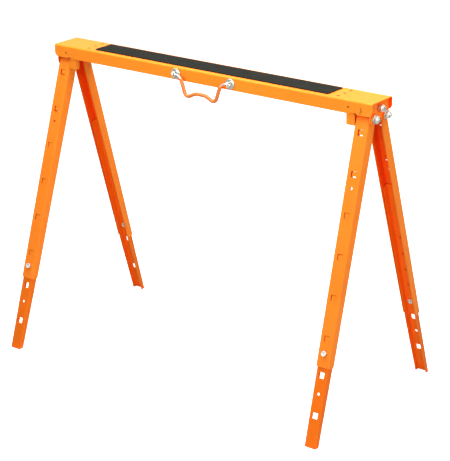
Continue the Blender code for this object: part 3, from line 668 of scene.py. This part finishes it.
def height_fasteners(side, row, row_sign):
    """The bolt and nut that lock a leg's extension."""
    name = f"{row}_{side}"
    leg, body = leg_frame(row, side), f"leg_{name}"
    low, high = span(f"lock_bolt_{name}", leg)
    nut_low, nut_high = span(f"lock_nut_{name}", leg)
    z = (low.z + high.z) / 2
    head = HEIGHT_BOLT["head"]
    solid = bolt(high.y - low.y - head, thread_from=0.003, **HEIGHT_BOLT)
    place = at(leg, 0, high.y - head, z, TO_MINUS_Y @ roll(7 * row_sign + 15))
    add_piece(f"height_bolt_{name}", solid, place, ZINC_BOLT, body, f"lock_bolt_{name}")
    solid = nut(nut_high.y - nut_low.y, **HEIGHT_NUT)
    place = at(leg, 0, nut_high.y, z, TO_MINUS_Y @ roll(25))
    add_piece(f"height_nut_{name}", solid, place, ZINC_NUT, body, f"lock_nut_{name}")


for side, side_sign in SIDES:
    end = end_frame(side, side_sign)
    end_fasteners(side, end)
    for row, row_sign in ROWS:
        pivot_fasteners(side, side_sign, row, row_sign, end)
        height_fasteners(side, row, row_sign)


# ---------------------------------------------------------------- cross pins
PIN_RADIUS = 0.0030
# A low domed head: distance from its face, share of the head's radius.
PIN_DOME = ((0.0, 0.35), (0.00012, 0.62), (0.0004, 0.86), (0.0008, 0.97), (0.0012, 0.985))
PIN_HEAD_END = 0.00125


def cross_pin(side):
    """A painted rivet along Y with a domed head at both ends."""
    low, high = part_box(f"fold_pin_{side}")
    centre = (low + high) / 2
    head_radius = (high.x - low.x) / 2
    profile = [(low.y + depth, head_radius * share) for depth, share in PIN_DOME]
    profile.append((low.y + PIN_HEAD_END, PIN_RADIUS))
    profile += [(-y + low.y + high.y, radius) for y, radius in reversed(profile)]
    solid = skin(turned(profile, steps=40))
    place = at(WORLD, centre.x, 0, centre.z, TO_PLUS_Y)
    replaced = f"fold_pin_{side}"
    add_piece(f"cross_pin_{side}", solid, place, PAINT_BRACKET, "root", replaced)


for side, _ in SIDES:
    cross_pin(side)


# ---------------------------------------------------------------- handle
HANDLE = Vector(JOINTS["handle_swing"]["pos_m"])
ROD_RADIUS = 0.0025
SLEEVE_RADIUS = 0.0049
SLEEVE_GAP = 0.00025  # between rod and sleeve
SLEEVE_ROUNDING = 0.0012
SLEEVE_INSET = 0.0006  # from the end of the CAD grip
# The rod's centre line from the middle out to +X: x, z from the swing axis.
HALF_ROD = [
    (0.0000, -0.0400), (0.0130, -0.0403), (0.0240, -0.0440), (0.0330, -0.0487),
    (0.0400, -0.0502), (0.0465, -0.0480), (0.0510, -0.0410), (0.0550, -0.0290),
    (0.0600, -0.0150), (0.0655, -0.0055), (0.0730, -0.0006), (0.0780, 0.0000),
    (0.0860, 0.0000), (0.0940, 0.0000),
]


def curve_through(points, each=7):
    """Catmull-Rom through (x, z) points, with each steps between neighbours."""
    knots = [Vector(point) for point in points]
    knots = [knots[0] * 2 - knots[1]] + knots + [knots[-1] * 2 - knots[-2]]
    made = []
    for i in range(1, len(knots) - 2):
        before, start, end, after = knots[i - 1 : i + 3]
        for k in range(each):
            t = k / each
            linear = (end - before) * t
            square = (2 * before - 5 * start + 4 * end - after) * t * t
            cubic = (3 * start - before - 3 * end + after) * t * t * t
            made.append(0.5 * (2 * start + linear + square + cubic))
    made.append(knots[-2])
    return made


def sweep_rows(points, radii, steps):
    """Rings square to a path in the XZ plane."""
    rows = []
    for i, point in enumerate(points):
        before, after = points[max(0, i - 1)], points[min(len(points) - 1, i + 1)]
        along = (after - before).normalized()
        sideways = Vector((-along.y, along.x))
        row = []
        for width, y in circle(radii[i], steps):
            place = point + sideways * width
            row.append((place.x, y, place.y))
        rows.append(row)
    return rows


def eased(points, radius, ends):
    """Radii along a path that round over at both ends."""
    travelled = [0.0]
    for start, end in zip(points, points[1:]):
        travelled.append(travelled[-1] + (end - start).length)
    radii = []
    for distance in travelled:
        near = min(distance, travelled[-1] - distance)
        part = min(1.0, near / ends)
        radii.append(radius - ends * (1 - math.sqrt(1 - (1 - part) ** 2)) * 0.9)
    return radii


def refined(points, extra=6):
    """The first and last steps of a path cut finer, for the rounding."""

    def split(start, end):
        return [start + (end - start) * (i / extra) for i in range(extra)]

    return split(*points[:2]) + points[1:-2] + split(*points[-2:]) + [points[-1]]


def carry_rod(path):
    radii = [ROD_RADIUS] * len(path)
    radii[0] = radii[-1] = ROD_RADIUS * 0.72
    solid = skin(sweep_rows(path, radii, steps=20))
    add_piece("carry_rod", solid, at(WORLD, *HANDLE), ZINC_ROD, "handle", "handle_rod")


def carry_sleeve(path):
    """A hollow sleeve over the middle of the rod."""
    _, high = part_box("handle_grip")
    covered = refined([point for point in path if abs(point.x) <= high.x - SLEEVE_INSET])
    outer = sweep_rows(covered, eased(covered, SLEEVE_RADIUS, SLEEVE_ROUNDING), steps=24)
    inner = sweep_rows(covered, [ROD_RADIUS + SLEEVE_GAP] * len(covered), steps=24)
    solid = skin(outer + inner[::-1], closed=True)
    place = at(WORLD, *HANDLE)
    add_piece("carry_sleeve", solid, place, SLEEVE, "handle", "handle_grip")


def united(*solids):
    """Two closed solids joined with a Boolean."""
    made = []
    for solid in solids:
        bmesh.ops.recalc_face_normals(solid, faces=solid.faces[:])
        mesh = bpy.data.meshes.new("union")
        solid.to_mesh(mesh)
        solid.free()
        obj = bpy.data.objects.new("union", mesh)
        scene.collection.objects.link(obj)
        made.append(obj)
    joint = made[0].modifiers.new("union", "BOOLEAN")
    joint.operation, joint.solver, joint.object = "UNION", "EXACT", made[1]
    bpy.context.view_layer.update()
    graph = bpy.context.evaluated_depsgraph_get()
    mesh = bpy.data.meshes.new_from_object(made[0].evaluated_get(graph))
    solid = bmesh.new()
    solid.from_mesh(mesh)
    for obj in made:
        bpy.data.objects.remove(obj)
    return solid


EYE_WIRE = 0.0020  # radius of the ring's wire
STEM_RADIUS = 0.0030


def eye_ring(major):
    """A torus round the X axis."""
    rows = []
    for i in range(40):
        angle = 2 * math.pi * i / 40
        row = []
        for out, x in circle(EYE_WIRE, steps=16):
            reach = major + out
            row.append((x, reach * math.cos(angle), reach * math.sin(angle)))
        rows.append(row)
    return skin(rows, closed=True)


def eye_stem(major, end):
    """A threaded stem from the ring to end, along +Y."""
    profile = [(major - 0.0006, 0.0021), (major + 0.0016, 0.0024), (major + 0.0034, STEM_RADIUS)]
    profile.append((end - 0.0085, STEM_RADIUS))
    profile += threads(end - 0.0083, end - 0.0008, STEM_RADIUS, pitch=0.001, depth=0.00055)
    profile += [(end - 0.0004, 0.0025), (end, 0.0020)]
    solid = skin(turned(profile, steps=32))
    solid.transform(TO_PLUS_Y)
    return solid


def handle_mount(side):
    """The eye the rod swings in, with its washer and nut."""
    eye, ring, hexagon = (f"handle_{part}_{side}" for part in ("eye", "washer", "nut"))
    low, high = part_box(eye)
    x = (low.x + high.x) / 2
    major = (high.z - low.z) / 2 - EYE_WIRE
    solid = united(eye_ring(major), eye_stem(major, high.y - HANDLE.y))
    place = at(WORLD, x, HANDLE.y, HANDLE.z)
    add_piece(f"carry_eye_{side}", solid, place, ZINC_BOLT, "root", eye)

    low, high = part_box(ring)
    solid = washer(high.y - low.y, outer=(high.z - low.z) / 2, inner=0.0033)
    place = at(WORLD, x, high.y, HANDLE.z, TO_MINUS_Y)
    add_piece(f"carry_washer_{side}", solid, place, ZINC_WASHER, "root", ring)

    low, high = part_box(hexagon)
    solid = nut(high.y - low.y, across=0.010, hole=0.0032)
    place = at(WORLD, x, low.y, HANDLE.z, TO_PLUS_Y @ roll(10))
    add_piece(f"carry_nut_{side}", solid, place, ZINC_NUT, "root", hexagon)


rod_path = curve_through([(-x, z) for x, z in reversed(HALF_ROD)] + HALF_ROD[1:])
carry_rod(rod_path)
carry_sleeve(rod_path)
for side, _ in SIDES:
    handle_mount(side)


# ---------------------------------------------------------------- non-slip strip
STRIP_STEP = 0.0022
STRIP_CORNER = 0.0025
STRIP_SINK = 0.00034  # mean depth of the surface below the CAD top
RIM_WIDTH, RIM_DROP = 0.0018, 0.00075
# Noise that lifts and lowers the top: frequency, slice, amount.
STRIP_RELIEF = ((900, 3.7, 0.00016), (330, 9.1, 0.00010), (22, 1.3, 0.00008))


def grit_strip(low, high):
    """A closed slab centred on the origin in X and Y, its top a fine rough grid."""
    columns_x = max(2, round((high.x - low.x) / STRIP_STEP))
    rows_y = max(2, round((high.y - low.y) / STRIP_STEP))
    solid = bmesh.new()
    top = {}
    for i in range(columns_x + 1):
        for j in range(rows_y + 1):
            x = low.x + (high.x - low.x) * i / columns_x
            y = low.y + (high.y - low.y) * j / rows_y
            inset_x, inset_y = min(x - low.x, high.x - x), min(y - low.y, high.y - y)
            # Corners are pulled in to a small radius.
            corner_x = max(0.0, STRIP_CORNER - inset_x)
            corner_y = max(0.0, STRIP_CORNER - inset_y)
            reach = math.hypot(corner_x, corner_y)
            if reach > STRIP_CORNER:
                pull = STRIP_CORNER / reach
                x += math.copysign(corner_x * (1 - pull), -x)
                y += math.copysign(corner_y * (1 - pull), -y)
            relief = sum(
                noise.noise(Vector((x * frequency, y * frequency, level))) * amount
                for frequency, level, amount in STRIP_RELIEF
            )
            drop = RIM_DROP * max(0.0, 1 - min(inset_x, inset_y) / RIM_WIDTH) ** 2
            z = high.z - STRIP_SINK + relief - drop
            top[i, j] = solid.verts.new((x, y, min(z, high.z)))
    for i in range(columns_x):
        for j in range(rows_y):
            solid.faces.new((top[i, j], top[i + 1, j], top[i + 1, j + 1], top[i, j + 1]))
    # The rim goes once round the outside and straight down; one face closes the underside.
    rim = [top[i, 0] for i in range(columns_x)]
    rim += [top[columns_x, j] for j in range(rows_y)]
    rim += [top[i, rows_y] for i in range(columns_x, 0, -1)]
    rim += [top[0, j] for j in range(rows_y, 0, -1)]
    base = [solid.verts.new((vert.co.x, vert.co.y, low.z)) for vert in rim]
    for i in range(len(rim)):
        k = (i + 1) % len(rim)
        solid.faces.new((rim[i], base[i], base[k], rim[k]))
    solid.faces.new(base)
    return solid


strip = grit_strip(*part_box("non_slip_pad"))
add_piece("grit_strip", strip, WORLD, GRIT, "root", "non_slip_pad")


# ---------------------------------------------------------------- floor, world, lights and camera
def floor_finish():
    """Pale to the camera, but throwing less light back up than a white floor would."""
    mat = Material("pale_floor")
    direct = mat.add("ShaderNodeLightPath").outputs["Is Camera Ray"]
    cloud = mat.ramp(mat.noise(scale=1.3, detail=2.0), low=0.3, high=0.7)
    pale = mat.mix(cloud, (0.90, 0.90, 0.90), (0.88, 0.88, 0.88))
    return mat.finish(
        Base_Color=mat.mix(direct, (0.55, 0.55, 0.55), pale),
        Roughness=0.9,
        Specular_IOR_Level=0.0,
        Emission_Color=(1.0, 1.0, 1.0),
        Emission_Strength=mat.maths("MULTIPLY", direct, 0.88),
    )


def studio_floor():
    mesh = bpy.data.meshes.new("studio_floor")
    grid = bmesh.new()
    bmesh.ops.create_grid(grid, x_segments=2, y_segments=2, size=30.0)
    grid.to_mesh(mesh)
    grid.free()
    floor = bpy.data.objects.new("studio_floor", mesh)
    floor.location = (0, 0, -0.0005)
    scene.collection.objects.link(floor)
    mesh.materials.append(floor_finish())


def studio_world():
    """Soft light on the paint, a brighter room in reflections and plain white behind."""
    world = bpy.data.worlds.new("studio")
    scene.world = world
    world.use_nodes = True
    tree = world.node_tree
    tree.nodes.clear()
    out = tree.nodes.new("ShaderNodeOutputWorld")
    rays = tree.nodes.new("ShaderNodeLightPath").outputs

    def surround(strength):
        made = tree.nodes.new("ShaderNodeBackground")
        made.inputs["Color"].default_value = (1.0, 1.0, 1.0, 1.0)
        made.inputs["Strength"].default_value = strength
        return made.outputs["Background"]

    def either(factor, otherwise, chosen):
        made = tree.nodes.new("ShaderNodeMixShader")
        tree.links.new(factor, made.inputs["Fac"])
        tree.links.new(otherwise, made.inputs[1])
        tree.links.new(chosen, made.inputs[2])
        return made.outputs["Shader"]

    soft, room = surround(strength=0.15), surround(strength=1.10)
    lit = either(rays["Is Glossy Ray"], soft, room)
    seen = either(rays["Is Camera Ray"], lit, surround(strength=1.05))
    tree.links.new(seen, out.inputs["Surface"])


def area_light(name, place, target, size, power):
    data = bpy.data.lights.new(name, "AREA")
    data.shape = "RECTANGLE"
    data.size, data.size_y = size
    data.energy = power
    obj = bpy.data.objects.new(name, data)
    obj.location = place
    obj.rotation_mode = "QUATERNION"
    obj.rotation_quaternion = (Vector(target) - Vector(place)).to_track_quat("-Z", "Y")
    obj.visible_camera = False
    scene.collection.objects.link(obj)
    return obj


# Name, place, target, size, power in watts.
LIGHTS = (
    ("key_above", (0.10, -0.15, 2.1), (0.04, 0.0, 0.6), (2.2, 0.9), 54),
    ("front_fill", (0.9, -2.9, 1.6), (0.2, 0.0, 0.5), (1.8, 1.6), 13),
    ("corner_fill", (1.9, -2.6, 1.8), (0.2, 0.0, 0.5), (1.6, 1.6), 37),
    ("front_high", (0.35, -1.6, 1.75), (0.1, 0.0, 0.62), (1.1, 0.9), 9),
    ("end_fill", (3.0, -0.2, 1.4), (0.2, 0.0, 0.5), (1.6, 1.6), 30),
    ("back_fill", (-1.4, 2.9, 1.5), (-0.1, 0.0, 0.5), (1.8, 1.6), 30),
)


def studio_camera():
    """In front of the right end, looking down and back."""
    data = bpy.data.cameras.new("camera")
    camera = bpy.data.objects.new("camera", data)
    scene.collection.objects.link(camera)
    data.sensor_width = 36.0
    data.lens = 126.921475
    data.clip_start, data.clip_end = 0.05, 200.0
    camera.matrix_world = columns(
        x=(0.801557, 0.597892, -0.005613),
        y=(-0.206979, 0.286267, 0.935527),
        z=(0.560951, -0.748716, 0.353210),
        origin=(2.41725, -3.18214, 1.87927),
    )
    scene.camera = camera


studio_floor()
studio_world()
lights = {light[0]: area_light(*light) for light in LIGHTS}
lights["back_fill"].visible_glossy = False
studio_camera()

scene.view_settings.view_transform = "Standard"
scene.view_settings.look = "None"
scene.view_settings.exposure = 0.0
scene.view_settings.gamma = 1.0

bpy.context.view_layer.update()
